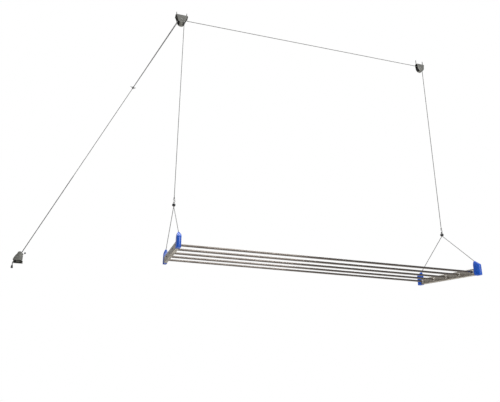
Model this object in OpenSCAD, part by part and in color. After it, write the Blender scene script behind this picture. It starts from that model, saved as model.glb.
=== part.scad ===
// Ceiling mounted pulley rack: five rods between two end plates, hung on two bridles.
// Two lift cords run over ceiling pulleys to one knot, and one pull cord runs on to a wall cleat.
// X runs along the rods, Y towards the wall behind, Z up. The origin is in the ceiling's plane,
// at the middle of the double pulley's screws.

/* [Rack] */
// Length of each rod
rod_len = 1830; // [900:10:2400]
// Number of rods
rod_count = 5; // [3:1:7]
// Distance between neighbouring rods
rod_pitch = 100; // [70:5:140]
// Diameter of a rod
rod_d = 12.7; // [10:0.1:20]
// Wall of a rod's tube
rod_wall = 0.8; // [0.5:0.1:1.5]
// Height from the rods up to the ceiling with the rack lowered
drop = 1600; // [900:10:2200]
// Height of an end plate
plate_h = 40; // [30:1:60]
// Width of an end plate, along the rods
plate_w = 20; // [16:1:30]
// Wall of an end plate
plate_wall = 1.5; // [1:0.1:3]

/* [End caps] */
// Width of a cap, along the rods
cap_w = 25; // [23:0.5:36]
// Length of a cap, outward from the rods
cap_len = 38; // [30:1:60]
// Height of the cap's ear above the rods' axes
cap_ear_h = 66; // [45:1:90]
// Depth of the cap's bottom below the rods' axes
cap_foot = 22.5; // [21:0.5:32]

/* [Bridles] */
// Height of the beads above the rods' axes
bead_h = 284; // [180:1:400]
// Diameter of a bead
bead_d = 20; // [16:1:28]
// Diameter of a hook's wire
hook_wire = 3; // [2:0.5:4]

/* [Cords] */
// Diameter of the lift cords and bridles
cord_d = 4; // [3:0.5:6]
// Diameter of the lower pull cord and its tail
pull_d = 5; // [3:0.5:7]

/* [Pulleys] */
// Outside radius of a pulley wheel
wheel_r = 23; // [18:0.5:32]
// Width of a wheel at its rim
rim_w = 13; // [9:0.5:16]
// Width of a wheel at its hub
hub_w = 17; // [10:0.5:20]
// Depth of the wheels' axles below the ceiling
axle_drop = 33; // [27:0.5:45]
// Diameter of a wheel's axle
axle_d = 6; // [4:0.5:8]
// Thickness of a housing's cheek
cheek_t = 2.5; // [1.5:0.1:4]
// Length of the double pulley's ceiling plate
double_plate_l = 84; // [76:1:110]
// Length of the single pulley's ceiling plate
single_plate_l = 66; // [60:1:90]
// Distance between the double pulley's screws
double_screw_gap = 68; // [62:1:90]
// Distance between the single pulley's screws
single_screw_gap = 56; // [52:1:76]
// Diameter of a ceiling screw's shank
screw_d = 4.2; // [3:0.1:6]
// Length of a ceiling screw above the ceiling's plane
screw_grip = 35; // [20:1:60]

/* [Wall cleat] */
// Distance from the rack's middle to the wall behind
wall_gap = 339; // [320:1:450]
// Sideways distance from the double pulley to the cleat's foot
cleat_x = 866; // [600:1:1200]
// Depth of the cleat's foot below the ceiling
cleat_drop = 1655; // [1300:1:1900]
// How far the cleat stands out from the wall
cleat_depth = 42; // [36:1:60]

/* [Hidden] */
$fn = 64;
eps = 0.01;
gap = 0.3;

// pulley wheels: the cord's middle runs on path_r
path_r = 18.3;
groove_r = 3;
groove_edge = 5.8;
wheel_pitch = hub_w + 1;
near_y = -wheel_pitch / 2;
far_y = wheel_pitch / 2;
double_in = 2 * hub_w + 2;
double_out = double_in + 2 * cheek_t;
single_in = hub_w + 1;
single_out = single_in + 2 * cheek_t;
cheek_r = wheel_r + 2;
base_t = 2.5;

// rack places
rack_y = near_y;
rods_z = -drop;
left_x = path_r;
right_x = left_x + rod_len + 2 * plate_wall - plate_w;
rod_start = left_x - plate_w / 2 + plate_wall;
rod_end = rod_start + rod_len;
single_x = right_x - path_r;
half_span = (rod_count - 1) / 2 * rod_pitch;
cap_in = half_span + 10.5;
plate_half = cap_in + 24;
bead_z = rods_z + bead_h;
hook_z = bead_z + bead_d / 2 + 5;
hook_r = 6;
eye_r = 4.5;
eye_z = hook_z + hook_r + hook_r + eye_r;
hang_end = eye_z + eye_r + hook_wire / 2 + gap;
cap_side_r = 65.5;
ear_y = cap_in + 5;
ear_z = rods_z + cap_ear_h - 4;

// wall cleat places, and the pull cord's way to it
wall_y = rack_y + wall_gap;
cleat_y = wall_y - 22;
foot = [-cleat_x, -cleat_drop];
cleat_in = [foot[0] + 41, cleat_y, foot[1] + 51];
cleat_out = [foot[0] + 3, cleat_y, foot[1] - 3];
leave = atan2(-(cleat_in[2] + axle_drop - 8), -(cleat_in[0] + 16));
leave_angle = leave + 90;
run_start = [path_r * cos(leave_angle), 0, -axle_drop + path_r * sin(leave_angle)];
run = cleat_in - run_start;
run_dir = run / norm(run);
knot_at = run_start + run_dir * 567;
join_at = run_start + run_dir * 1250;
cam_dir = unit([cleat_out[0] - cleat_in[0], 0, cleat_out[2] - cleat_in[2]]);
cam_side = [-cam_dir[2], 0, cam_dir[0]];
cam_pin = cleat_in + cam_dir * 33 + cam_side * 13;
ball_at = [foot[0] + 59, cleat_y, foot[1] + 47];
lever = ball_at - cam_pin;
lever_len = norm(lever);
lever_turn = atan2(lever[0], lever[2]);
tail_points = [for (k = [0 : 3]) [foot[0] - 2, cleat_y, foot[1] - 17 - 4 * k]];
knob_top = tail_points[3];

function unit(v) = v / norm(v);
function ring_dir(p, i) = unit(p[min(i + 1, len(p) - 1)] - p[max(i - 1, 0)]);
function ring(c, t, ref, r, n) =
    let (a = unit(cross(t, ref)), b = cross(a, t))
    [for (k = [0 : n - 1]) c + r * (cos(k * 360 / n) * a + sin(k * 360 / n) * b)];
function arc_xz(c, r, a0, a1, n) =
    [for (i = [0 : n]) let (a = a0 + (a1 - a0) * i / n) [c[0] + r * cos(a), c[1], c[2] + r * sin(a)]];
function arc_yz(c, r, a0, a1, n) =
    [for (i = [0 : n]) let (a = a0 + (a1 - a0) * i / n) [c[0], c[1] + r * cos(a), c[2] + r * sin(a)]];
function arc2(c, r, a0, a1, n) =
    [for (i = [0 : n]) let (a = a0 + (a1 - a0) * i / n) [c[0] + r * cos(a), c[1] + r * sin(a)]];

// ---- shared shapes ----

// a solid tube along points, with flat ends; ref is never along the cord
module cord_along(p, d, ref, sides = 8) {
    n = len(p);
    pts = [for (i = [0 : n - 1]) each ring(p[i], ring_dir(p, i), ref, d / 2, sides)];
    walls = [
        for (i = [0 : n - 2], k = [0 : sides - 1])
            [i * sides + k, i * sides + (k + 1) % sides,
                (i + 1) * sides + (k + 1) % sides, (i + 1) * sides + k]
    ];
    near_end = [for (k = [0 : sides - 1]) sides - 1 - k];
    far_end = [for (k = [0 : sides - 1]) (n - 1) * sides + k];
    polyhedron(points = pts, faces = concat(walls, [near_end, far_end]));
}

// a cylinder along Y, its middle at y
module rod_y(r, h, y) {
    translate([0, y, 0])
        rotate([90, 0, 0])
            cylinder(r = r, h = h, center = true);
}

// a cylinder along X from x0 to x1
module rod_x(r, x0, x1) {
    translate([x0, 0, 0])
        rotate([0, 90, 0])
            cylinder(r = r, h = x1 - x0);
}

// a wheel with a round groove, turning about Y, its middle at y
module wheel(y) {
    half_profile = concat(
        [[axle_d / 2 + 0.05, -hub_w / 2], [7, -hub_w / 2], [7, -rim_w / 2 + 1.5],
            [wheel_r - 5, -rim_w / 2 + 1.5], [wheel_r - 5, -rim_w / 2],
            [wheel_r - 0.6, -rim_w / 2], [wheel_r, -rim_w / 2 + 0.6], [wheel_r, -groove_edge]],
        arc2([path_r + groove_r - cord_d / 2 - 0.4, 0], groove_r, 270, 90, 12),
        [[wheel_r, groove_edge], [wheel_r, rim_w / 2 - 0.6], [wheel_r - 0.6, rim_w / 2],
            [wheel_r - 5, rim_w / 2], [wheel_r - 5, rim_w / 2 - 1.5],
            [7, rim_w / 2 - 1.5], [7, hub_w / 2], [axle_d / 2 + 0.05, hub_w / 2]]
    );
    translate([0, y, -axle_drop])
        difference() {
            rotate([90, 0, 0])
                rotate_extrude()
                    polygon(half_profile);
            for (a = [0 : 60 : 300])
                rotate([0, a, 0])
                    translate([11.2, 0, 0])
                        rod_y(2.2, hub_w, 0);
        }
}

// one side of a pulley housing: wide at the ceiling plate, round below the axle
module cheek(y, top) {
    reach = [top, axle_drop - base_t];
    turn = atan2(reach[1], reach[0]) - acos(cheek_r / norm(reach));
    translate([0, y, 0])
        difference() {
            rotate([90, 0, 0])
                linear_extrude(height = cheek_t, center = true)
                    polygon(concat(
                        [[top, -base_t], [-top, -base_t]],
                        arc2([0, -axle_drop], cheek_r, 180 - turn, 360 + turn, 48)
                    ));
            translate([0, 0, -axle_drop])
                rod_y(axle_d / 2, cheek_t + 1, 0);
        }
}

// housing with two cheeks, a web under the plate and a band round the wheels' underside
module housing(inside, top) {
    for (s = [-1, 1])
        cheek(s * (inside + cheek_t) / 2, top);
    translate([-cheek_r + 4, -inside / 2 - eps, -base_t - 1.5])
        cube([2 * cheek_r - 8, inside + 2 * eps, 1.5]);
    translate([0, 0, -axle_drop])
        rotate([90, 0, 0])
            linear_extrude(height = inside + 2 * eps, center = true)
                polygon(concat(
                    arc2([0, 0], cheek_r, 240, 300, 16),
                    arc2([0, 0], cheek_r - 1.4, 300, 240, 16)
                ));
}

// ceiling plate with round ends and two screw holes
module ceiling_plate(l, w, screw_gap) {
    difference() {
        translate([0, 0, -base_t])
            linear_extrude(height = base_t)
                polygon(concat(
                    arc2([l / 2 - 8, w / 2 - 8], 8, 90, 0, 10),
                    arc2([l / 2 - 8, -w / 2 + 8], 8, 0, -90, 10),
                    arc2([-l / 2 + 8, -w / 2 + 8], 8, 270, 180, 10),
                    arc2([-l / 2 + 8, w / 2 - 8], 8, 180, 90, 10)
                ));
        for (s = [-1, 1])
            translate([s * screw_gap / 2, 0, -base_t - 1])
                cylinder(r = screw_d / 2 + 0.4, h = base_t + 2);
    }
}

// axle with a round head on each side
module axle(outside) {
    translate([0, 0, -axle_drop]) {
        rod_y(axle_d / 2, outside, 0);
        for (s = [-1, 1])
            rod_y(axle_d / 2 + 2, 2, s * (outside / 2 + 1));
    }
}

// two ceiling screws: a pan head under the plate and a shank up into the ceiling
module ceiling_screws(screw_gap) {
    for (s = [-1, 1])
        translate([s * screw_gap / 2, 0, 0]) {
            cylinder(r = screw_d / 2, h = screw_grip);
            translate([0, 0, -base_t])
                cylinder(r = screw_d / 2 + 0.25, h = base_t);
            difference() {
                translate([0, 0, -base_t - 2.8])
                    cylinder(r1 = 3.6, r2 = 4.6, h = 2.8);
                translate([0, 0, -base_t - 3])
                    cylinder(r = 1.6, h = 1.6, $fn = 6);
            }
        }
}

// ---- ceiling pulleys ----

module double_pulley_plate() {
    color("#8f8f89")
        ceiling_plate(double_plate_l, double_out, double_screw_gap);
}

module double_pulley_housing() {
    color("#b9b9b2")
        housing(double_in, double_plate_l / 2 - 5);
}

module double_pulley_axle() {
    color("#c9c9c6")
        axle(double_out);
}

module double_pulley_screws() {
    color("#5c5c58")
        ceiling_screws(double_screw_gap);
}

module near_wheel() {
    color("#1b1b1c")
        wheel(near_y);
}

module far_wheel() {
    color("#1b1b1c")
        wheel(far_y);
}

module single_pulley_plate() {
    color("#8f8f89")
        translate([single_x, rack_y, 0])
            ceiling_plate(single_plate_l, single_out, single_screw_gap);
}

module single_pulley_housing() {
    color("#b9b9b2")
        translate([single_x, rack_y, 0])
            housing(single_in, single_plate_l / 2 - 4);
}

module single_pulley_axle() {
    color("#c9c9c6")
        translate([single_x, rack_y, 0])
            axle(single_out);
}

module single_pulley_screws() {
    color("#5c5c58")
        translate([single_x, rack_y, 0])
            ceiling_screws(single_screw_gap);
}

module single_wheel() {
    color("#1b1b1c")
        translate([single_x, rack_y, 0])
            wheel(0);
}

// ---- rack ----

function rod_y_at(i) = rack_y + (i - 1) * rod_pitch - half_span;

module rod_tube(i) {
    color("#c4c2bd")
        translate([0, rod_y_at(i), rods_z])
            difference() {
                rod_x(rod_d / 2, rod_start, rod_end);
                rod_x(rod_d / 2 - rod_wall, rod_start - 1, rod_end + 1);
            }
}

module rod_1() {
    rod_tube(1);
}

module rod_2() {
    rod_tube(2);
}

module rod_3() {
    rod_tube(3);
}

module rod_4() {
    rod_tube(4);
}

module rod_5() {
    rod_tube(5);
}

// box section end plate; side is 1 where the rack lies to its right, -1 to its left
module end_plate(x, side) {
    color("#b5b0a4")
        translate([x, rack_y, rods_z])
            difference() {
                cube([plate_w, 2 * plate_half, plate_h], center = true);
                cube([plate_w - 2 * plate_wall, 2 * plate_half + 2, plate_h - 2 * plate_wall],
                    center = true);
                for (i = [1 : rod_count])
                    translate([0, rod_y_at(i) - rack_y, 0]) {
                        rod_x(rod_d / 2, min(0, side * plate_w), max(0, side * plate_w));
                        rod_x(2.2, min(0, -side * plate_w), max(0, -side * plate_w));
                    }
            }
}

module left_end_plate() {
    end_plate(left_x, 1);
}

module right_end_plate() {
    end_plate(right_x, -1);
}

// flanged rings round the rods where they enter an end plate
module rod_collars(x, side) {
    face = x + side * plate_w / 2;
    color("#d2d0ca")
        for (i = [1 : rod_count])
            translate([face, rod_y_at(i), rods_z])
                rotate([0, side * 90, 0])
                    difference() {
                        union() {
                            cylinder(r = rod_d / 2 + 3, h = 1.6);
                            cylinder(r1 = rod_d / 2 + 2.2, r2 = rod_d / 2 + 1.4, h = 6);
                        }
                        translate([0, 0, -1])
                            cylinder(r = rod_d / 2, h = 8);
                    }
}

module left_rod_collars() {
    rod_collars(left_x, 1);
}

module right_rod_collars() {
    rod_collars(right_x, -1);
}

// plugs inside the rods' ends, which the end screws bite into
module rod_plugs(x, side) {
    color("#3a3a3a")
        for (i = [1 : rod_count])
            translate([x, rod_y_at(i), rods_z])
                rotate([0, side * 90, 0])
                    difference() {
                        cylinder(r = rod_d / 2 - rod_wall, h = 22);
                        translate([0, 0, -1])
                            cylinder(r = 2, h = 19);
                    }
}

module left_rod_plugs() {
    rod_plugs(rod_start, 1);
}

module right_rod_plugs() {
    rod_plugs(rod_end, -1);
}

// screws through an end plate's outer face into the plugs
module rod_screws(x, side) {
    face = x - side * plate_w / 2;
    color("#6a6862")
        for (i = [1 : rod_count])
            translate([face, rod_y_at(i), rods_z])
                rotate([0, side * 90, 0]) {
                    cylinder(r = 2, h = 16);
                    difference() {
                        translate([0, 0, -2.2])
                            cylinder(r1 = 3.2, r2 = 4, h = 2.2);
                        translate([0, 0, -2.4])
                            cylinder(r = 1.4, h = 1.4, $fn = 6);
                    }
                }
}

module left_rod_screws() {
    rod_screws(left_x, 1);
}

module right_rod_screws() {
    rod_screws(right_x, -1);
}

// end cap: an ear on the rack's side that slopes down to a round nose, narrower at its top
module end_cap(x, way) {
    leg = unit([ear_y - 2.1, ear_z - (bead_z - bead_d / 2)]);
    outline = concat(
        [[cap_in, -cap_foot + 2], [cap_in, cap_ear_h - 3]],
        arc2([cap_in + 3, cap_ear_h - 3], 3, 180, 70, 5),
        arc2([cap_in + cap_len - 20, cap_ear_h - 38], 20, 66, 6, 10),
        arc2([cap_in + cap_len - 5, -cap_foot + 5], 5, 0, -90, 5),
        arc2([cap_in + 2, -cap_foot + 2], 2, 270, 180, 3)
    );
    nose = concat(
        [[-cap_w / 2, cap_in - 1], [cap_w / 2, cap_in - 1]],
        arc2([0, cap_in + cap_len - cap_w / 2], cap_w / 2, 0, 180, 24)
    );
    front = concat(
        [[-cap_w / 2 + 3, -cap_foot - 1], [cap_w / 2 - 3, -cap_foot - 1]],
        arc2([cap_w / 2 - 5, -cap_foot + 5], 5, -60, 0, 4),
        arc2([cap_w / 2 - cap_side_r, cap_ear_h - 32], cap_side_r, 0, 25, 8),
        arc2([0, cap_ear_h - 7], 7, 30, 150, 14),
        arc2([-cap_w / 2 + cap_side_r, cap_ear_h - 32], cap_side_r, 155, 180, 8),
        arc2([-cap_w / 2 + 5, -cap_foot + 5], 5, 180, 240, 4)
    );
    color("#1657c8")
        translate([x, rack_y, rods_z])
            mirror([0, way < 0 ? 1 : 0, 0])
                difference() {
                    intersection() {
                        rotate([90, 0, 90])
                            linear_extrude(height = cap_w, center = true)
                                polygon(outline);
                        translate([0, 0, -cap_foot - 1])
                            linear_extrude(height = cap_foot + cap_ear_h + 2)
                                polygon(nose);
                        translate([0, cap_in - 1, 0])
                            rotate([90, 0, 180])
                                linear_extrude(height = cap_len + 2)
                                    polygon(front);
                    }
                    translate([-plate_w / 2, cap_in - 1, -plate_h / 2])
                        cube([plate_w, plate_half - cap_in + 1, plate_h]);
                    translate([0, ear_y, cap_ear_h - 4])
                        rotate([atan2(-leg[1], -leg[0]) - 90, 0, 0])
                            translate([0, 0, -12])
                                cylinder(r = cord_d / 2, h = 40);
                }
}

module near_left_cap() {
    end_cap(left_x, -1);
}

module far_left_cap() {
    end_cap(left_x, 1);
}

module near_right_cap() {
    end_cap(right_x, -1);
}

module far_right_cap() {
    end_cap(right_x, 1);
}

// ---- bridles, beads and hooks ----

// from one ear up through the bead, round the hook and down to the other ear
module bridle(x) {
    low = bead_z - bead_d / 2;
    leg = unit([ear_y - 2.1, ear_z - low]);
    far_leg = [[x, ear_y + leg[0] * 11, ear_z + leg[1] * 11], [x, 2.6, low - 0.5],
        [x, 2.1, low + 2], [x, 2.1, bead_z + bead_d / 2 - 1], [x, 3.2, hook_z - 3.2]];
    near_leg = [for (i = [len(far_leg) - 1 : -1 : 0]) [x, -far_leg[i][1], far_leg[i][2]]];
    route = concat(far_leg, arc_yz([x, 0, hook_z], 4.4, 0, 180, 8), near_leg);
    color("#a9a9a6")
        translate([0, rack_y, 0])
            cord_along(route, cord_d, [1, 0, 0]);
}

module left_bridle_cord() {
    bridle(left_x);
}

module right_bridle_cord() {
    bridle(right_x);
}

module bead(x) {
    color("#121212")
        translate([x, rack_y, bead_z])
            difference() {
                intersection() {
                    sphere(d = bead_d + 0.6);
                    cube([bead_d + 2, bead_d + 2, bead_d - 1], center = true);
                }
                cylinder(r = cord_d + 0.3, h = bead_d + 2, center = true);
            }
}

module left_bead() {
    bead(left_x);
}

module right_bead() {
    bead(right_x);
}

// open hook below and closed eye above, bent from one wire, with a straight seat for the bridle
module hook(x) {
    color("#9b9b97")
        translate([x, rack_y, 0]) {
            translate([0, 0, hook_z + hook_r])
                rotate([90, 0, 0])
                    rotate([0, 0, -150])
                        rotate_extrude(angle = 240)
                            translate([hook_r, 0])
                                circle(d = hook_wire);
            translate([0, 0, hook_z])
                rod_x(hook_wire / 2, -1.5, 1.5);
            translate([0, 0, eye_z])
                rotate([90, 0, 0])
                    rotate_extrude()
                        translate([eye_r, 0])
                            circle(d = hook_wire);
        }
}

module left_hook() {
    hook(left_x);
}

module right_hook() {
    hook(right_x);
}

// ---- cords ----

cord_tone = "#b4b4b1";

module left_hanging_cord() {
    color(cord_tone)
        cord_along([[left_x, rack_y, -axle_drop], [left_x, rack_y, hang_end]], cord_d, [0, 1, 0]);
}

module right_hanging_cord() {
    color(cord_tone)
        cord_along([[right_x, rack_y, -axle_drop], [right_x, rack_y, hang_end]], cord_d, [0, 1, 0]);
}

module left_wheel_cord() {
    color(cord_tone)
        cord_along(arc_xz([0, near_y, -axle_drop], path_r, 0, leave_angle, 12), cord_d, [0, 1, 0]);
}

module ceiling_cord() {
    color(cord_tone)
        cord_along(concat(
            arc_xz([single_x, rack_y, -axle_drop], path_r, 0, 90, 7),
            arc_xz([0, far_y, -axle_drop], path_r, 90, leave_angle, 5)
        ), cord_d, [0, 1, 0]);
}

module run_cord(y) {
    start = run_start + [0, y, 0];
    last = knot_at + [0, sign(y) * 2.2, 0] - run_dir * (6 + 3 * gap);
    color(cord_tone)
        cord_along([start, last], cord_d, [0, 1, 0]);
}

module left_run_cord() {
    run_cord(near_y);
}

module right_run_cord() {
    run_cord(far_y);
}

// the lump where both lift cords and the pull cord are tied, with the two cut ends
module cord_knot() {
    color("#8f8f8c") {
        translate(knot_at)
            rotate([0, 0, atan2(run_dir[1], run_dir[0])])
                rotate([0, acos(run_dir[2]), 0])
                    rotate_extrude($fn = 32)
                        polygon([[0, -6], [3.6, -6], [6.4, -3], [6.8, 0], [6, 4], [3.2, 8], [0, 8]]);
        cord_along([knot_at + [-3, 0, 1], knot_at + [-10, 0, 3], knot_at + [-16, -1, 7]],
            cord_d, [0, 1, 0]);
        cord_along([knot_at + [3, 0, -1.5], knot_at + [10, 0, -2], knot_at + [16, -1, 2]],
            cord_d, [0, 1, 0]);
    }
}

module pull_cord_upper() {
    color(cord_tone)
        cord_along([knot_at + run_dir * (8 + gap), join_at], cord_d, [0, 1, 0]);
}

module pull_cord_lower() {
    color("#9c9c99")
        cord_along([join_at, cleat_in], pull_d, [0, 1, 0]);
}

module cleat_cord() {
    color("#9c9c99")
        cord_along([cleat_in, cleat_in + cam_dir * 6, cleat_in + cam_dir * 20,
            cleat_in + cam_dir * 40, cleat_out, [foot[0], cleat_y, foot[1] - 9],
            [foot[0] - 1.6, cleat_y, foot[1] - 13], tail_points[0]], pull_d, [0, 1, 0]);
}

module tail_cord() {
    color("#b9b9b6")
        cord_along(concat([for (k = [0 : 2]) tail_points[k]], [tail_points[3] + [0, 0, gap]]),
            pull_d, [0, 1, 0]);
}

// bell shaped grip on the tail's end
module pull_knob() {
    color("#4a4a4a")
        translate(knob_top)
            rotate_extrude($fn = 48)
                polygon([[0, 0], [3.6, 0], [4.4, -1], [4.8, -5], [6.4, -12], [6.6, -16],
                    [5.6, -18.4], [3, -19], [0, -19]]);
}

// ---- wall cleat ----

// side view of the cleat's body, seen from the front
cleat_outline = concat(
    [[0, 0], [3, 10], [7, 19], [13, 29], [20, 38]],
    arc2([34, 38], 14, 135, 60, 6),
    [[45, 44], [45.5, 30], [46, 0]]
);

module cleat_shape() {
    translate(foot)
        polygon(cleat_outline);
}

module cleat_plate() {
    holes = [foot[0] + 6, foot[0] + 40];
    color("#8b8b85")
        difference() {
            translate([0, wall_y, 0])
                rotate([90, 0, 0])
                    linear_extrude(height = 2.5)
                        union() {
                            cleat_shape();
                            translate([foot[0] - 3, foot[1] - 14])
                                square([52, 16]);
                        }
            for (x = holes)
                translate([x, 0, foot[1] - 7])
                    rod_y(screw_d / 2 + 0.4, 8, wall_y);
        }
}

// pressed hood: front and side walls, open at the foot, slotted for the lever and the cord
module cleat_housing() {
    front_y = wall_y - cleat_depth;
    color("#b4b4ab")
        difference() {
            translate([0, wall_y - 2.5, 0])
                rotate([90, 0, 0])
                    linear_extrude(height = cleat_depth - 2.5)
                        cleat_shape();
            translate([0, wall_y - 2.5 + eps, 0])
                rotate([90, 0, 0])
                    linear_extrude(height = cleat_depth - 4.5)
                        translate(foot)
                            polygon(concat(
                                [[2, -1], [5.2, 10], [9, 18.2], [14.8, 27.8], [21.4, 36.4]],
                                arc2([34, 38], 12, 135, 60, 6),
                                [[43, 42.5], [43.5, 30], [44, -1]]
                            ));
            translate([foot[0] + 38, cleat_y - 4, foot[1] + 15])
                cube([12, 8, 24]);
            translate([cleat_in[0] - 6, cleat_y - 5, cleat_in[2] - 8])
                cube([12, 10, 14]);
            translate([cam_pin[0], 0, cam_pin[2]])
                rod_y(2.5, 10, front_y);
        }
}

// fixed toothed jaw that the cam presses the cord against
module cleat_jaw() {
    jaw_at = cleat_in + cam_dir * 33 - cam_side * (pull_d / 2 + gap);
    color("#75756f")
        translate(jaw_at)
            rotate([0, atan2(cam_dir[0], cam_dir[2]), 0])
                translate([0, (wall_y - 2.5 - cleat_y) / 2 - 2.5, 0])
                    difference() {
                        translate([2, 0, 0])
                            cube([4, wall_y - 2.5 - cleat_y + 5, 12], center = true);
                        for (k = [-1 : 1])
                            translate([0, 0, k * 3.6])
                                rotate([0, 45, 0])
                                    cube([1.2, 60, 1.2], center = true);
                    }
}

module cleat_screws() {
    color("#5c5c58")
        for (dx = [6, 40])
            translate([foot[0] + dx, wall_y, foot[1] - 7])
                rotate([-90, 0, 0]) {
                    cylinder(r = screw_d / 2, h = screw_grip);
                    translate([0, 0, -2.5])
                        cylinder(r = screw_d / 2 + 0.25, h = 2.5);
                    difference() {
                        translate([0, 0, -5.3])
                            cylinder(r1 = 3.6, r2 = 4.6, h = 2.8);
                        translate([0, 0, -5.5])
                            cylinder(r = 1.6, h = 1.6, $fn = 6);
                    }
                }
}

module cleat_pin() {
    pin_l = cleat_depth - 2.5;
    color("#c9c9c6")
        translate([cam_pin[0], 0, cam_pin[2]]) {
            rod_y(2.5, pin_l, wall_y - 2.5 - pin_l / 2);
            rod_y(4.2, 1.6, wall_y - cleat_depth - 0.8);
        }
}

// eccentric disc: its high side faces the cord, and the lever turns it away
module cleat_cam() {
    color("#6d6d68")
        translate(cam_pin)
            difference() {
                union() {
                    translate(-cam_side * 3.5)
                        rod_y(6.7, 14, 0);
                    rod_y(6, 16, 0);
                }
                rod_y(2.55, 20, 0);
                rotate([0, lever_turn, 0])
                    translate([0, 0, 3.2])
                        cylinder(r = 2, h = 10);
            }
}

module cleat_lever() {
    color("#cfcfca")
        translate(cam_pin)
            rotate([0, lever_turn, 0])
                translate([0, 0, 3.2])
                    cylinder(r = 2, h = lever_len - 3.2 - 3);
}

module cleat_ball() {
    color("#141414")
        translate(ball_at)
            difference() {
                sphere(d = 10);
                rotate([0, lever_turn, 0])
                    translate([0, 0, -8])
                        cylinder(r = 2, h = 5);
            }
}

double_pulley_plate();
double_pulley_housing();
double_pulley_axle();
double_pulley_screws();
near_wheel();
far_wheel();
single_pulley_plate();
single_pulley_housing();
single_pulley_axle();
single_pulley_screws();
single_wheel();
left_end_plate();
right_end_plate();
rod_1();
rod_2();
rod_3();
rod_4();
rod_5();
left_rod_collars();
right_rod_collars();
left_rod_plugs();
right_rod_plugs();
left_rod_screws();
right_rod_screws();
near_left_cap();
far_left_cap();
near_right_cap();
far_right_cap();
left_bridle_cord();
right_bridle_cord();
left_bead();
right_bead();
left_hook();
right_hook();
left_hanging_cord();
right_hanging_cord();
left_wheel_cord();
ceiling_cord();
left_run_cord();
right_run_cord();
cord_knot();
pull_cord_upper();
pull_cord_lower();
cleat_cord();
tail_cord();
pull_knob();
cleat_plate();
cleat_housing();
cleat_jaw();
cleat_screws();
cleat_pin();
cleat_cam();
cleat_lever();
cleat_ball();
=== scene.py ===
import math

import bmesh
import bpy
from mathutils import Matrix, Vector


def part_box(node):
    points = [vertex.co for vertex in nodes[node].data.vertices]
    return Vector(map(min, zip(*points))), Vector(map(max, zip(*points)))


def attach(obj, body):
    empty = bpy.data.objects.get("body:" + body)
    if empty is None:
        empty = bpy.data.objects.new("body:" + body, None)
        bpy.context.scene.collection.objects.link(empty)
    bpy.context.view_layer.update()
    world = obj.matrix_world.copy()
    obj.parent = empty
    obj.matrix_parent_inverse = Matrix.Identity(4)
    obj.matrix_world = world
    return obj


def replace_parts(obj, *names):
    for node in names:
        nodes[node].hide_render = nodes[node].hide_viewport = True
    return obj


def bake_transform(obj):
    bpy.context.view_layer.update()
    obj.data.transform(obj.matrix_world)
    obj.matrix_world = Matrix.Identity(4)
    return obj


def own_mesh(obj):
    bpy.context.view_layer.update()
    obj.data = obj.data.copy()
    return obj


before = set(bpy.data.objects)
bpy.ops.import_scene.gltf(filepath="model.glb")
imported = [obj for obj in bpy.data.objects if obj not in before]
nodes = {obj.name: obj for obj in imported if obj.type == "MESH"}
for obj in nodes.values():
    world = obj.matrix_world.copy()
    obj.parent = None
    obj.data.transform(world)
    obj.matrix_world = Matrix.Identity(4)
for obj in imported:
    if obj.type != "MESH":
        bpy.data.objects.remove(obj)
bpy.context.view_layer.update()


# small helpers for node trees

def addNode(tree, kind, inputs=None, **settings):
    node = tree.nodes.new(kind)
    for key, value in settings.items():
        setattr(node, key, value)
    for key, value in (inputs or {}).items():
        if isinstance(value, bpy.types.NodeSocket):
            tree.links.new(value, node.inputs[key])
        else:
            node.inputs[key].default_value = value
    return node


def calc(tree, operation, a, b=0.0):
    return addNode(tree, "ShaderNodeMath", {0: a, 1: b}, operation=operation).outputs[0]


def blendColours(tree, amount, low, high):
    mix = addNode(tree, "ShaderNodeMix", data_type="RGBA")
    for key, value in ((0, amount), (6, low), (7, high)):
        if isinstance(value, bpy.types.NodeSocket):
            tree.links.new(value, mix.inputs[key])
        else:
            mix.inputs[key].default_value = value if key == 0 else (*value, 1)
    return mix.outputs[2]


def spread(tree, value, low, high, fromLow=0.3, fromHigh=0.7):
    return addNode(tree, "ShaderNodeMapRange", {
        "Value": value, "From Min": fromLow, "From Max": fromHigh,
        "To Min": low, "To Max": high}).outputs[0]


def noise(tree, place, scale, detail=3.0, rough=0.55):
    return addNode(tree, "ShaderNodeTexNoise", {
        "Vector": place, "Scale": scale, "Detail": detail, "Roughness": rough}).outputs["Fac"]


def newMaterial(name):
    material = bpy.data.materials.new(name)
    material.use_nodes = True
    tree = material.node_tree
    shader = tree.nodes["Principled BSDF"]
    return material, tree, shader


def objectPlace(tree, stretch=(1, 1, 1)):
    coord = addNode(tree, "ShaderNodeTexCoord")
    return addNode(tree, "ShaderNodeMapping", {
        "Vector": coord.outputs["Object"], "Scale": stretch}).outputs["Vector"]


def setBump(tree, shader, height, depth, strength=1.0):
    bump = addNode(tree, "ShaderNodeBump", {
        "Height": height, "Distance": depth, "Strength": strength})
    tree.links.new(bump.outputs["Normal"], shader.inputs["Normal"])


# finishes: steel with a grain, moulded plastic, braided cord; tints run from dark to light

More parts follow.
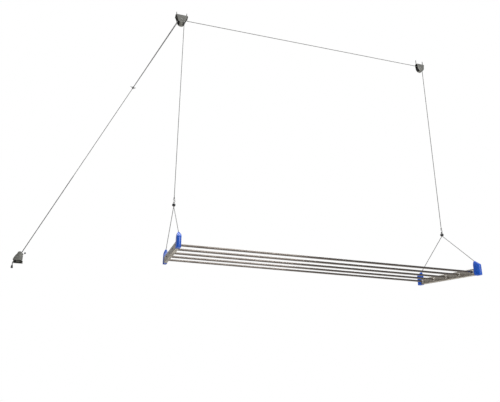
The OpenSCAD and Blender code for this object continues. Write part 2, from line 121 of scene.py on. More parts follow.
steelLooks = {
    "housingSteel": {"tints": ((0.25, 0.25, 0.222), (0.38, 0.38, 0.345)), "rough": (0.34, 0.5),
                     "grain": (60, 60, 900), "bump": 0.00004, "stain": 22},
    "baseSteel": {"tints": ((0.12, 0.12, 0.108), (0.21, 0.21, 0.19)), "rough": (0.38, 0.55),
                  "grain": (80, 800, 800), "bump": 0.00004, "stain": 26},
    "pinSteel": {"tints": ((0.30, 0.30, 0.285), (0.42, 0.42, 0.40)), "rough": (0.2, 0.34),
                 "grain": (500, 120, 500), "bump": 0.00003, "stain": 60},
    "screwSteel": {"tints": ((0.06, 0.055, 0.05), (0.12, 0.115, 0.10)), "rough": (0.35, 0.55),
                   "grain": (900, 900, 300), "bump": 0.00003, "stain": 90},
    "plateSteel": {"tints": ((0.52, 0.48, 0.41), (0.68, 0.635, 0.55)), "rough": (0.3, 0.44),
                   "grain": (900, 35, 900), "bump": 0.00006, "stain": 14},
    "rodSteel": {"tints": ((0.11, 0.095, 0.082), (0.20, 0.178, 0.158)), "rough": (0.12, 0.2),
                 "grain": (30, 700, 700), "bump": 0.000015, "stain": 9},
    "collarSteel": {"tints": ((0.42, 0.40, 0.37), (0.55, 0.53, 0.49)), "rough": (0.22, 0.32),
                    "grain": (400, 400, 400), "bump": 0.00002, "stain": 60},
    "hookSteel": {"tints": ((0.20, 0.20, 0.19), (0.32, 0.32, 0.30)), "rough": (0.26, 0.4),
                  "grain": (400, 400, 400), "bump": 0.00003, "stain": 80},
    "leverSteel": {"tints": ((0.62, 0.62, 0.60), (0.74, 0.74, 0.72)), "rough": (0.14, 0.26),
                   "grain": (500, 500, 200), "bump": 0.00002, "stain": 70},
}
stainShare = 0.55  # how much of a steel's tint follows its stains, and the rest its grain

plasticLooks = {
    "wheelNylon": {"tints": ((0.012, 0.012, 0.013), (0.03, 0.03, 0.031)), "rough": (0.38, 0.55),
                   "skin": 900, "bump": 0.00006, "coat": 0.0, "scuff": (0.09, 0.09, 0.09)},
    "plugPlastic": {"tints": ((0.03, 0.03, 0.03), (0.05, 0.05, 0.05)), "rough": (0.45, 0.6),
                    "skin": 800, "bump": 0.00005, "coat": 0.0, "scuff": (0.1, 0.1, 0.1)},
    "capBlue": {"tints": ((0.004, 0.085, 0.56), (0.010, 0.13, 0.70)), "rough": (0.24, 0.34),
                "skin": 420, "bump": 0.00004, "coat": 0.3, "scuff": (0.03, 0.17, 0.76)},
    "beadBlack": {"tints": ((0.006, 0.006, 0.007), (0.014, 0.014, 0.015)), "rough": (0.12, 0.24),
                  "skin": 500, "bump": 0.00003, "coat": 0.3, "scuff": (0.06, 0.06, 0.06)},
    "knobGrey": {"tints": ((0.05, 0.05, 0.05), (0.085, 0.085, 0.085)), "rough": (0.4, 0.55),
                 "skin": 900, "bump": 0.00006, "coat": 0.0, "scuff": (0.18, 0.18, 0.18)},
}
scuff = {"stretch": (160, 420, 90), "from": 0.64, "to": 0.8, "most": 0.55, "rough": 0.3}

# cord tints run from dark to light, and each cord sets how dark the painted shade in its braid's valleys
# goes
cordLooks = {
    "liftCord": {"tints": ((0.10, 0.10, 0.098), (0.33, 0.33, 0.325)), "valley": 0.35},
    "pullCord": {"tints": ((0.055, 0.055, 0.054), (0.19, 0.19, 0.186)), "valley": 0.4},
}


def steelFinish(name, look):
    material, tree, shader = newMaterial(name)
    grain = noise(tree, objectPlace(tree, look["grain"]), 1.0, 4.0, 0.6)
    stain = noise(tree, objectPlace(tree), look["stain"], 3.0)
    mixed = calc(tree, "ADD", calc(tree, "MULTIPLY", grain, 1 - stainShare),
                 calc(tree, "MULTIPLY", stain, stainShare))
    colour = blendColours(tree, spread(tree, mixed, 0.0, 1.0), *look["tints"])
    tree.links.new(colour, shader.inputs["Base Color"])
    tree.links.new(spread(tree, mixed, *look["rough"]), shader.inputs["Roughness"])
    shader.inputs["Metallic"].default_value = 1.0
    setBump(tree, shader, grain, look["bump"])
    return material


def plasticFinish(name, look):
    material, tree, shader = newMaterial(name)
    skin = noise(tree, objectPlace(tree), look["skin"], 2.0)
    cloud = noise(tree, objectPlace(tree), 30.0, 3.0)
    scuffs = noise(tree, objectPlace(tree, scuff["stretch"]), 1.0, 6.0, 0.7)
    base = blendColours(tree, spread(tree, cloud, 0.0, 1.0), *look["tints"])
    worn = spread(tree, scuffs, 0.0, scuff["most"], scuff["from"], scuff["to"])
    tree.links.new(blendColours(tree, worn, base, look["scuff"]), shader.inputs["Base Color"])
    rough = calc(tree, "ADD", spread(tree, cloud, *look["rough"]),
                 calc(tree, "MULTIPLY", worn, scuff["rough"]))
    tree.links.new(rough, shader.inputs["Roughness"])
    shader.inputs["Coat Weight"].default_value = look["coat"]
    shader.inputs["Coat Roughness"].default_value = 0.12
    setBump(tree, shader, skin, look["bump"])
    return material


# a diamond braid: two families of strands wind round the cord against each other; the valleys between them
# are darkened with painted shade
braid = {"strands": 8, "lay": 0.0034, "relief": 0.00022, "fibre": 5200.0, "grime": 18.0, "crown": 0.6}


def cordFinish(name, look):
    material, tree, shader = newMaterial(name)
    place = addNode(tree, "ShaderNodeAttribute", attribute_name="roundCord").outputs["Vector"]
    along = addNode(tree, "ShaderNodeAttribute", attribute_name="alongCord").outputs["Fac"]
    parts = addNode(tree, "ShaderNodeSeparateXYZ", {0: place})
    angle = calc(tree, "ARCTAN2", parts.outputs[1], parts.outputs[0])
    turn = calc(tree, "MULTIPLY", angle, float(braid["strands"]))
    advance = calc(tree, "MULTIPLY", along, 2 * math.pi / braid["lay"])
    waves = [calc(tree, "SINE", calc(tree, way, turn, advance)) for way in ("ADD", "SUBTRACT")]
    diamond = calc(tree, "ABSOLUTE", calc(tree, "MULTIPLY", *waves))
    diamond = calc(tree, "POWER", diamond, braid["crown"])
    fibre = noise(tree, objectPlace(tree), braid["fibre"], 2.0)
    grime = noise(tree, objectPlace(tree), braid["grime"], 3.0)
    # painted shade: the colour darkens in the valleys between strands; the fibre and grime noise add real
    # tone on top
    shade = calc(tree, "MULTIPLY", spread(tree, diamond, look["valley"], 1.0, 0.0, 0.8),
                 spread(tree, fibre, 0.82, 1.0))
    shade = calc(tree, "MULTIPLY", shade, spread(tree, grime, 0.86, 1.0))
    tree.links.new(blendColours(tree, shade, *look["tints"]), shader.inputs["Base Color"])
    tree.links.new(spread(tree, fibre, 0.62, 0.82), shader.inputs["Roughness"])
    shader.inputs["Sheen Weight"].default_value = 0.25
    shader.inputs["Sheen Roughness"].default_value = 0.5
    height = calc(tree, "ADD", diamond, calc(tree, "MULTIPLY", fibre, 0.25))
    setBump(tree, shader, height, braid["relief"])
    return material


finishes = {name: steelFinish(name, look) for name, look in steelLooks.items()}
finishes.update({name: plasticFinish(name, look) for name, look in plasticLooks.items()})
finishes.update({name: cordFinish(name, look) for name, look in cordLooks.items()})
print("finishes:", len(finishes))


# mesh helpers: every piece is placed in its own mesh

def addObject(name, mesh, finish, sharpAngle=35):
    mesh.materials.clear()
    mesh.materials.append(finishes[finish])
    mesh.shade_smooth()
    if sharpAngle:
        mesh.set_sharp_from_angle(angle=math.radians(sharpAngle))
    piece = bpy.data.objects.new(name, mesh)
    bpy.context.scene.collection.objects.link(piece)
    return piece


def finishBmesh(bm, name):
    bmesh.ops.remove_doubles(bm, verts=bm.verts, dist=2e-6)
    bmesh.ops.recalc_face_normals(bm, faces=bm.faces)
    mesh = bpy.data.meshes.new(name)
    bm.to_mesh(mesh)
    bm.free()
    return mesh


# turns a profile of (radius, height) points about an axis through centre; the axis is height's direction
def lathe(bm, profile, centre, axis=(0, 0, 1), sides=48):
    turnTo = Vector((0, 0, 1)).rotation_difference(Vector(axis).normalized()).to_matrix()
    rings = []
    for radius, height in profile:
        if radius < 1e-7:
            rings.append([bm.verts.new(Vector(centre) + turnTo @ Vector((0, 0, height)))])
            continue
        rings.append([bm.verts.new(Vector(centre) + turnTo @ Vector((
            radius * math.cos(2 * math.pi * k / sides),
            radius * math.sin(2 * math.pi * k / sides), height))) for k in range(sides)])
    for low, high in zip(rings, rings[1:]):
        for k in range(sides):
            corners = [low[k % len(low)], low[(k + 1) % len(low)],
                       high[(k + 1) % len(high)], high[k % len(high)]]
            unique = list(dict.fromkeys(corners))
            if len(unique) > 2:
                bm.faces.new(unique)


def arc(centre, radius, start, end, steps):
    return [(centre[0] + radius * math.cos(math.radians(start + (end - start) * k / steps)),
             centre[1] + radius * math.sin(math.radians(start + (end - start) * k / steps)))
            for k in range(steps + 1)]


# copies a CAD node's shape, merges it and rounds its edges a little
def roundedCopy(node, name, width, segments=2, angle=38):
    bm = bmesh.new()
    bm.from_mesh(nodes[node].data)
    bmesh.ops.remove_doubles(bm, verts=bm.verts, dist=2e-6)
    bmesh.ops.dissolve_limit(bm, angle_limit=math.radians(0.6), verts=bm.verts, edges=bm.edges)
    mesh = bpy.data.meshes.new(name)
    bm.to_mesh(mesh)
    bm.free()
    mesh.shade_smooth()
    piece = bpy.data.objects.new(name, mesh)
    bpy.context.scene.collection.objects.link(piece)
    bevel = piece.modifiers.new("edges", "BEVEL")
    bevel.width, bevel.segments = width, segments
    bevel.limit_method, bevel.angle_limit = "ANGLE", math.radians(angle)
    bevel.use_clamp_overlap, bevel.harden_normals = True, True
    return bakeMesh(piece, name)


def softened(node, name, finish, width, segments=2, angle=38):
    piece = addObject(name, roundedCopy(node, name, width, segments, angle), finish, None)
    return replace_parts(piece, node)


def bakeMesh(host, name):
    bpy.context.view_layer.update()
    mesh = bpy.data.meshes.new_from_object(host.evaluated_get(bpy.context.evaluated_depsgraph_get()))
    bpy.data.objects.remove(host)
    for other in [m for m in bpy.data.meshes if m.name == name]:
        other.name = name + "Old"
    mesh.name = name
    return mesh


# geometry node trees: a swept cord, a row of copies, a ring of copies

def newTree(name, sockets):
    tree = bpy.data.node_groups.new(name, "GeometryNodeTree")
    for label, kind, value in sockets:
        socket = tree.interface.new_socket(label, in_out="INPUT", socket_type=kind)
        if value is not None:
            socket.default_value = value
    tree.interface.new_socket("Geometry", in_out="OUTPUT", socket_type="NodeSocketGeometry")
    return tree, tree.nodes.new("NodeGroupInput").outputs, tree.nodes.new("NodeGroupOutput")


def endTree(tree, given, output, geometry):
    real = addNode(tree, "GeometryNodeRealizeInstances", {"Geometry": geometry})
    painted = addNode(tree, "GeometryNodeSetMaterial", {
        "Geometry": real.outputs[0], "Material": given["Material"]})
    tree.links.new(painted.outputs[0], output.inputs["Geometry"])
    return tree


def makeCordTree():
    tree, given, output = newTree("cordSweep", [
        ("Geometry", "NodeSocketGeometry", None), ("Diameter", "NodeSocketFloat", 0.004),
        ("Sides", "NodeSocketInt", 14), ("Ring Gap", "NodeSocketFloat", 0.004),
        ("Material", "NodeSocketMaterial", None)])
    line = addNode(tree, "GeometryNodeMeshToCurve", {"Mesh": given["Geometry"]})
    rings = addNode(tree, "GeometryNodeResampleCurve", {
        "Curve": line.outputs[0], "Length": given["Ring Gap"]}, mode="LENGTH")
    length = addNode(tree, "GeometryNodeSplineParameter").outputs["Length"]
    rings = addNode(tree, "GeometryNodeStoreNamedAttribute", {
        "Geometry": rings.outputs[0], "Name": "alongCord", "Value": length},
        data_type="FLOAT", domain="POINT")
    radius = addNode(tree, "ShaderNodeMath", {0: given["Diameter"], 1: 0.5}, operation="MULTIPLY")
    circle = addNode(tree, "GeometryNodeCurvePrimitiveCircle", {
        "Resolution": given["Sides"], "Radius": radius.outputs[0]})
    place = addNode(tree, "GeometryNodeInputPosition").outputs[0]
    circle = addNode(tree, "GeometryNodeStoreNamedAttribute", {
        "Geometry": circle.outputs[0], "Name": "roundCord", "Value": place},
        data_type="FLOAT_VECTOR", domain="POINT")
    tube = addNode(tree, "GeometryNodeCurveToMesh", {
        "Curve": rings.outputs[0], "Profile Curve": circle.outputs[0], "Fill Caps": True})
    return endTree(tree, given, output, tube.outputs[0])


def makeRowTree():
    tree, given, output = newTree("rowOfCopies", [
        ("Geometry", "NodeSocketGeometry", None), ("Count", "NodeSocketInt", 5),
        ("Step", "NodeSocketVector", (0, 0.1, 0)), ("Material", "NodeSocketMaterial", None)])
    line = addNode(tree, "GeometryNodeMeshLine", {
        "Count": given["Count"], "Offset": given["Step"]}, mode="OFFSET")
    copies = addNode(tree, "GeometryNodeInstanceOnPoints", {
        "Points": line.outputs[0], "Instance": given["Geometry"]})
    return endTree(tree, given, output, copies.outputs[0])


def makeRingTree():
    tree, given, output = newTree("ringOfCopies", [
        ("Geometry", "NodeSocketGeometry", None), ("Count", "NodeSocketInt", 6),
        ("Turn", "NodeSocketVector", (0, 0, 1)), ("Centre", "NodeSocketVector", (0, 0, 0)),
        ("Material", "NodeSocketMaterial", None)])
    line = addNode(tree, "GeometryNodeMeshLine", {
        "Count": given["Count"], "Offset": (0, 0, 0)}, mode="OFFSET")
    copies = addNode(tree, "GeometryNodeInstanceOnPoints", {
        "Points": line.outputs[0], "Instance": given["Geometry"]})
    number = addNode(tree, "GeometryNodeInputIndex").outputs[0]
    turn = addNode(tree, "ShaderNodeVectorMath", {0: given["Turn"], "Scale": number}, operation="SCALE")
    turned = addNode(tree, "GeometryNodeRotateInstances", {
        "Instances": copies.outputs[0], "Rotation": turn.outputs[0],
        "Pivot Point": given["Centre"], "Local Space": False})
    return endTree(tree, given, output, turned.outputs[0])


cordTree, rowTree, ringTree = makeCordTree(), makeRowTree(), makeRingTree()


# runs a tree on a mesh and returns the plain mesh that comes out
def runTree(tree, host, name, finish, **values):
    modifier = host.modifiers.new(tree.name, "NODES")
    modifier.node_group = tree
    values["Material"] = finishes[finish]
    for socket in tree.interface.items_tree:
        label = socket.name.replace(" ", "")
        if socket.in_out == "INPUT" and label in values:
            modifier[socket.identifier] = values[label]
    return bakeMesh(host, name)


def repeated(tree, bm, name, finish, **values):
    host = bpy.data.objects.new(name + "Host", finishBmesh(bm, name + "Host"))
    bpy.context.scene.collection.objects.link(host)
    return addObject(name, runTree(tree, host, name, finish, **values), finish)


def sweptCord(name, route, diameter, finish, ringGap=0.004, sides=14):
    mesh = bpy.data.meshes.new(name + "Route")
    mesh.from_pydata([tuple(p) for p in route], [(k, k + 1) for k in range(len(route) - 1)], [])
    host = bpy.data.objects.new(name + "Route", mesh)
    bpy.context.scene.collection.objects.link(host)
    made = runTree(cordTree, host, name, finish, Diameter=diameter, RingGap=ringGap, Sides=sides)
    return addObject(name, made, finish, 60)


print("trees: cord sweep, row and ring of copies")

# camera at the viewer's place below the rack

cameraLook = {"place": (-0.3149, -2.1835, -2.0851), "heading": 11.733, "lift": 14.781,
              "roll": 2.483, "lens": 28.93, "sensor": 36, "shift": (0.115, 0.073)}


def makeCamera(look):
    heading, lift, roll = (math.radians(look[key]) for key in ("heading", "lift", "roll"))
    level = Vector((math.cos(heading), -math.sin(heading), 0))
    ahead = Vector((math.sin(heading) * math.cos(lift), math.cos(heading) * math.cos(lift),
                    math.sin(lift)))
    right = level * math.cos(roll) + level.cross(ahead) * math.sin(roll)
    above = right.cross(ahead)
    data = bpy.data.cameras.new("viewCamera")
    data.lens, data.sensor_width = look["lens"], look["sensor"]
    data.shift_x, data.shift_y = look["shift"]
    camera = bpy.data.objects.new("viewCamera", data)
    bpy.context.scene.collection.objects.link(camera)
    turn = Matrix((right, above, -ahead)).transposed().to_4x4()
    camera.matrix_world = Matrix.Translation(look["place"]) @ turn
    bpy.context.scene.camera = camera


makeCamera(cameraLook)

# cords: two lift cords to one knot, then one pull cord to the wall cleat

cords = {
    "liftDiameter": 0.004, "pullDiameter": 0.005, "wheelPath": 0.0183, "axleDrop": 0.033,
    "leaveAngle": 152.872, "leftX": 0.0183, "rightX": 1.8313, "singleX": 1.813,
    "nearY": -0.009, "farY": 0.009, "hangEnd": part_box("left_hanging_cord")[0].z, "lift": 1.15,
    "runStart": Vector((-0.0162868, 0, -0.0246555)), "cleatIn": Vector((-0.825, 0.308, -1.604)),
    "knotAt": 0.567, "joinAt": 1.25, "aboveKnot": 0.0069, "belowKnot": 0.0083, "apartAtKnot": 0.0022,
    "cleatRoute": ((-0.863, 0.308, -1.658), (-0.866, 0.308, -1.664),
                   (-0.8676, 0.308, -1.668), (-0.868, 0.308, -1.672)),
    "tail": ((-0.868, 0.308, -1.676), (-0.868, 0.308, -1.680), (-0.868, 0.308, -1.684)),
}
runWay = (cords["cleatIn"] - cords["runStart"]).normalized()
knotAt = cords["runStart"] + runWay * cords["knotAt"]
joinAt = cords["runStart"] + runWay * cords["joinAt"]
pullStart = knotAt + runWay * cords["belowKnot"]


def wheelArc(x, y, start, end, steps):
    return [(px, y, pz) for px, pz in arc((x, -cords["axleDrop"]), cords["wheelPath"], start, end, steps)]


def between(a, b, steps):
    return [Vector(a).lerp(Vector(b), k / steps) for k in range(steps + 1)]


# shortens towards its wheel as the rack rises
def hangingCord(name, x, node):
    top, foot = (x, cords["nearY"], -cords["axleDrop"]), (x, cords["nearY"], cords["hangEnd"])
    route = between(top, foot, 30)
    piece = sweptCord(name, route, cords["liftDiameter"], "liftCord", 0.006)
    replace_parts(piece, node)
    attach(piece, "fixings")
    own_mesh(piece)


# stays on its wheels and lengthens towards the knot as the knot goes down
def runCord(name, overWheels, y, nodesStoodFor):
    start = cords["runStart"] + Vector((0, y, 0))
    end = knotAt + Vector((0, math.copysign(cords["apartAtKnot"], y), 0)) - runWay * cords["aboveKnot"]
    route = overWheels + between(start, end, 24)[1:]
    piece = sweptCord(name, route, cords["liftDiameter"], "liftCord", 0.0045)
    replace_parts(piece, *nodesStoodFor)
    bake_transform(piece)


# shortens towards the cleat as the knot goes down
def pullCord(name, start, end, diameter, finish, node):
    route = between(start, end, 24)
    piece = sweptCord(name, route, diameter, finish, 0.006)
    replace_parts(piece, node)
    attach(piece, "fixings")
    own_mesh(piece)


leaveAngle = cords["leaveAngle"]
hangingCord("leftHangingCord", cords["leftX"], "left_hanging_cord")
hangingCord("rightHangingCord", cords["rightX"], "right_hanging_cord")
runCord("leftLiftCord", wheelArc(0, cords["nearY"], 0, leaveAngle, 16), cords["nearY"],
        ("left_wheel_cord", "left_run_cord"))
overBoth = wheelArc(cords["singleX"], cords["nearY"], 0, 90, 10)
farArc = wheelArc(0, cords["farY"], 90, leaveAngle, 8)
overBoth += between(overBoth[-1], farArc[0], 40)[1:-1] + farArc
runCord("rightLiftCord", overBoth, cords["farY"], ("ceiling_cord", "right_run_cord"))
pullCord("pullCordUpper", pullStart, joinAt, cords["liftDiameter"], "liftCord", "pull_cord_upper")
pullCord("pullCordLower", joinAt, cords["cleatIn"], cords["pullDiameter"], "pullCord", "pull_cord_lower")

print("cords")

# the rack: rods between two box section end plates

rods = {"count": 5, "pitch": 0.1, "radius": 0.00635, "middle": Vector((0.9248, -0.009, -1.6))}
plate = {"width": 0.02, "height": 0.04, "outerRound": 0.0028, "innerRound": 0.0014, "wall": 0.0015}


def plateX(side):
    low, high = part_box(f"{side}_end_plate")
    return (low.x + high.x) / 2


def paintNode(node, finish):
    nodes[node].data.materials.clear()
    nodes[node].data.materials.append(finishes[finish])


for k in range(rods["count"]):
    paintNode(f"rod_{k + 1}", "rodSteel")
for node in ("left_rod_plugs", "right_rod_plugs"):
    paintNode(node, "plugPlastic")


def roundedRect(halfX, halfZ, radius, steps=4):
    points = []
    for cx, cz, start in ((1, 1, 0), (-1, 1, 90), (-1, -1, 180), (1, -1, 270)):
        points += arc((cx * (halfX - radius), cz * (halfZ - radius)), radius, start, start + 90, steps)
    return points


# box section tube along Y with rounded edges and a wall
def endPlate(name, node):
    low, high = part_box(node)
    middle = (low + high) / 2
    halfX, halfZ = plate["width"] / 2, plate["height"] / 2
    bm = bmesh.new()
    loops = []
    for inset, radius in ((0, plate["outerRound"]), (plate["wall"], plate["innerRound"])):
        outline = roundedRect(halfX - inset, halfZ - inset, radius)
        loops.append([[bm.verts.new((middle.x + px, y, middle.z + pz)) for px, pz in outline]
                      for y in (low.y, high.y)])
    count = len(loops[0][0])
    for a, b in ((loops[0][0], loops[0][1]), (loops[1][1], loops[1][0]),
                 (loops[1][0], loops[0][0]), (loops[0][1], loops[1][1])):
        for k in range(count):
            bm.faces.new((a[k], a[(k + 1) % count], b[(k + 1) % count], b[k]))
    piece = addObject(name, finishBmesh(bm, name), "plateSteel", 30)
    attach(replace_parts(piece, node), "rack")


endPlate("leftEndPlate", "left_end_plate")
endPlate("rightEndPlate", "right_end_plate")

# turned collars round the rods, and the screws through the plates' outer faces
collar = {"flange": 0.0032, "flangeThick": 0.0016, "neck": 0.0016, "reach": 0.006,
          "footEdge": 0.0003, "rimEdge": 0.0004, "filletWide": 0.0005, "filletLow": 0.0002,
          "filletHigh": 0.0008, "mouthOuter": 0.0003, "mouthInner": 0.0009, "mouthLong": 0.0006}
panScrew = {"head": 0.004, "crown": 0.0022, "slot": 0.0011, "slotLong": 0.0046, "shank": 0.002,
            "flat": 0.86, "dish": 0.0001, "recess": 0.55, "waist": 0.55, "long": 0.014}


def collarShape(bm, centre, way):
    r, thick, reach = rods["radius"], collar["flangeThick"], collar["reach"]
    rim, neck = r + collar["flange"], r + collar["neck"]
    profile = [(r, 0), (rim - collar["footEdge"], 0), (rim, collar["footEdge"]),
               (rim, thick - collar["rimEdge"]), (rim - collar["rimEdge"], thick),
               (neck + collar["filletWide"], thick + collar["filletLow"]),
               (neck, thick + collar["filletHigh"]),
               (neck - collar["mouthOuter"], reach - collar["mouthLong"]),
               (neck - collar["mouthInner"], reach), (r, reach), (r, 0)]
    lathe(bm, profile, centre, (way, 0, 0), 40)


# pan head with a cross recess sunk into its crown; way points from the head's back to the crown
def crossScrew(bm, centre, way, look):
    crown = look["crown"]
    turnTo = Vector((0, 0, 1)).rotation_difference(Vector(way).normalized()).to_matrix()
    ring = crossOutline(look["slot"] / 2, look["slotLong"] / 2, look["waist"])
    angles = [math.atan2(y, x) for x, y in ring]
    levels = [[(x, y, crown * (1 - look["recess"])) for x, y in ring], [(x, y, crown) for x, y in ring]]
    side = [(look["head"] * look["flat"], crown - look["dish"]),
            (look["head"] * 0.95, crown * 0.8), (look["head"], crown * 0.5), (look["head"], 0),
            (look["shank"], 0), (look["shank"], -look["long"])]
    for radius, height in side:
        levels.append([(radius * math.cos(angle), radius * math.sin(angle), height) for angle in angles])
    rings = [[bm.verts.new(Vector(centre) + turnTo @ Vector(p)) for p in level] for level in levels]
    count = len(ring)
    for low, high in zip(rings, rings[1:]):
        for k in range(count):
            bm.faces.new((low[k], low[(k + 1) % count], high[(k + 1) % count], high[k]))
    bm.faces.new(rings[0])
    bm.faces.new(rings[-1])


# a cross of four arms, with a point halfway along every edge
def crossOutline(half, long, waist):
    arm = [(long, -half), (long, half), (long * waist, half), (half, half)]
    corners = []
    for c, s in ((1, 0), (0, 1), (-1, 0), (0, -1)):
        corners += [(x * c - y * s, x * s + y * c) for x, y in arm]
    outline = []
    for a, b in zip(corners, corners[1:] + corners[:1]):
        outline += [a, ((a[0] + b[0]) / 2, (a[1] + b[1]) / 2)]
    return outline


firstY = rods["middle"].y - rods["pitch"] * (rods["count"] - 1) / 2
for side, way in (("left", 1), ("right", -1)):
    low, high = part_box(f"{side}_end_plate")
    inner, outer = (high.x, low.x) if way > 0 else (low.x, high.x)
    bm = bmesh.new()
    collarShape(bm, (inner, firstY, rods["middle"].z), way)
    piece = repeated(rowTree, bm, side + "RodCollars", "collarSteel",
                     Count=rods["count"], Step=(0, rods["pitch"], 0))
    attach(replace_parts(piece, f"{side}_rod_collars"), "rack")
    bm = bmesh.new()
    crossScrew(bm, (outer, firstY, rods["middle"].z), (-way, 0, 0), panScrew)
    piece = repeated(rowTree, bm, side + "RodScrews", "screwSteel",
                     Count=rods["count"], Step=(0, rods["pitch"], 0))
    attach(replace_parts(piece, f"{side}_rod_screws"), "rack")
print("rack: plates, collars and screws")

# end caps: moulded plastic with rounded edges, and an eyelet round the bridle where it comes out
cap = {"edge": 0.0022, "edgeSteps": 5, "eyeletProud": 0.0025, "eyeletDeep": 0.006,
       "eyeletBore": 0.0022, "eyeletMouth": 0.0026, "eyeletRim": 0.0034, "eyeletOuter": 0.0040,
       "boreTop": 0.0012, "mouthTop": 0.0017, "rimTop": 0.0016, "outerTop": 0.0008}
bridle = {"earY": 0.2155, "earRise": 0.062, "hidden": 0.011, "loop": 0.0044, "gap": 0.0021,
          "spreadBelow": 0.0005, "straightFrom": 0.002, "straightTo": 0.009, "loopFoot": 0.0032}
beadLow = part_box("left_bead")[0].z


def endCap(name, node, x, way):
    middleY, middleZ = rods["middle"].y, rods["middle"].z
    leg = Vector((0, -way * (bridle["earY"] - bridle["gap"]),
                  beadLow - middleZ - bridle["earRise"])).normalized()
    ear = Vector((x, middleY + way * bridle["earY"], middleZ + bridle["earRise"]))
    profile = [(cap["eyeletBore"], cap["boreTop"]), (cap["eyeletMouth"], cap["mouthTop"]),
               (cap["eyeletRim"], cap["rimTop"]), (cap["eyeletOuter"], cap["outerTop"]),
               (cap["eyeletOuter"], -cap["eyeletDeep"]), (cap["eyeletBore"], -cap["eyeletDeep"]),
               (cap["eyeletBore"], cap["boreTop"])]
    bm = bmesh.new()
    lathe(bm, profile, ear + leg * cap["eyeletProud"], leg, 28)
    eyelet = finishBmesh(bm, name + "Eyelet")
    bm = bmesh.new()
    bm.from_mesh(roundedCopy(node, name, cap["edge"], cap["edgeSteps"], 30))
    bm.from_mesh(eyelet)
    mesh = bpy.data.meshes.new(name)
    bm.to_mesh(mesh)
    bm.free()
    piece = addObject(name, mesh, "capBlue", 55)
    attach(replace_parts(piece, node), "rack")


for side in ("left", "right"):
    endCap("near" + side.title() + "Cap", f"near_{side}_cap", plateX(side), -1)
    endCap("far" + side.title() + "Cap", f"far_{side}_cap", plateX(side), 1)
print("end caps")

# bridles, beads and hooks
bead = {"radius": 0.0101, "bore": 0.0043, "height": -1.316, "lip": 0.0007}
hook = {"wire": 0.0015, "eye": 0.0045, "bend": 0.006, "height": -1.301, "lean": 0.0012,
        "bendFrom": 205, "bendTo": 450, "eyeTo": 262, "bendSteps": 22, "eyeSteps": 30}


# up one leg from inside the cap, through the bead, round the hook and down to the other cap
def bridleRoute(x):
    y, z = rods["middle"].y, rods["middle"].z
    ear = Vector((bridle["earY"], z + bridle["earRise"]))
    foot = Vector((bridle["gap"] + bridle["spreadBelow"], beadLow - bridle["spreadBelow"]))
    leg = (ear - foot).normalized()
    fine = between(ear + leg * bridle["hidden"], foot, 24)
    fine += [Vector((bridle["gap"], beadLow + bridle["straightFrom"])),
             Vector((bridle["gap"], bead["height"] + bridle["straightTo"])),
             Vector((bridle["loopFoot"], hook["height"] - bridle["loopFoot"]))]
    over = [Vector(p) for p in arc((0, hook["height"]), bridle["loop"], 0, 180, 10)]
    points = fine + over + [Vector((-p.x, p.y)) for p in reversed(fine)]
    return [(x, y + p.x, p.y) for p in points]


# an open bend below and an eye above, whose wire leans past its own start
def hookRoute(x):
    y, bend, eye = rods["middle"].y, hook["bend"], hook["eye"]
    low = hook["height"] + bend
    lower = arc((x, low), bend, hook["bendFrom"], hook["bendTo"], hook["bendSteps"])
    upper = arc((x, low + bend + eye), eye, -90, hook["eyeTo"], hook["eyeSteps"])[1:]
    leaning = [(px, y - hook["lean"] * k / (len(upper) - 1), pz) for k, (px, pz) in enumerate(upper)]
    return [(px, y, pz) for px, pz in lower] + leaning


for side in ("left", "right"):
    x = plateX(side)
    route = bridleRoute(x)
    piece = sweptCord(side + "BridleCord", route, cords["liftDiameter"], "liftCord", 0.003)
    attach(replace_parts(piece, f"{side}_bridle_cord"), "rack")
    bm = bmesh.new()
    r, bore, lip = bead["radius"], bead["bore"], bead["lip"]
    rim = math.degrees(math.acos((bore + lip) / r))
    shell = arc((0, 0), r, -rim, rim, 26)
    ends = shell[-1][1]
    profile = [(bore, -ends + lip)] + shell + [(bore, ends - lip), (bore, -ends + lip)]
    lathe(bm, profile, (x, rods["middle"].y, bead["height"]), (0, 0, 1), 48)
    piece = addObject(side + "Bead", finishBmesh(bm, side + "Bead"), "beadBlack", 50)
    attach(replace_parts(piece, f"{side}_bead"), "rack")
    piece = sweptCord(side + "Hook", hookRoute(x), 2 * hook["wire"], "hookSteel", 0.0006, 16)
    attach(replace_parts(piece, f"{side}_hook"), "hooks")
print("bridles, beads and hooks")

# the whipping by which a hanging cord holds its hook
hangKnot = {"turns": 3, "steps": 18, "radius": 0.0030, "cord": 0.0023, "low": 0.0016, "gap": 0.0023}


def hangingKnot(side):
    x, y, foot = plateX(side), rods["middle"].y, cords["hangEnd"] + hangKnot["low"]
    route = []
    for k in range(hangKnot["steps"] * hangKnot["turns"] + 1):
        turn = 2 * math.pi * k / hangKnot["steps"]
        route.append((x + hangKnot["radius"] * math.cos(turn), y + hangKnot["radius"] * math.sin(turn),
                      foot + hangKnot["gap"] * k / hangKnot["steps"]))
    piece = sweptCord(side + "HangingKnot", route, hangKnot["cord"], "liftCord", 0.001, 12)
    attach(piece, "hooks")


for side in ("left", "right"):
    hangingKnot(side)

# knot of the two lift cords on the pull cord: wound turns, a body inside and two cut ends
knot = {"turns": 3.2, "steps": 16, "radius": 0.0046, "cord": 0.0037, "gap": 0.0037, "shift": 0.001,
        "core": [(0, -0.0072), (0.0026, -0.0072), (0.0042, -0.005), (0.0044, 0.005),
                 (0.0024, 0.0082), (0, 0.0082)],
        "cutEndCord": 0.0038,
        "cutEnds": [((-0.003, 0, 0.001), (-0.010, 0, 0.003), (-0.016, -0.001, 0.007)),
                    ((0.003, 0, -0.0015), (0.010, 0, -0.002), (0.016, -0.001, 0.002))]}


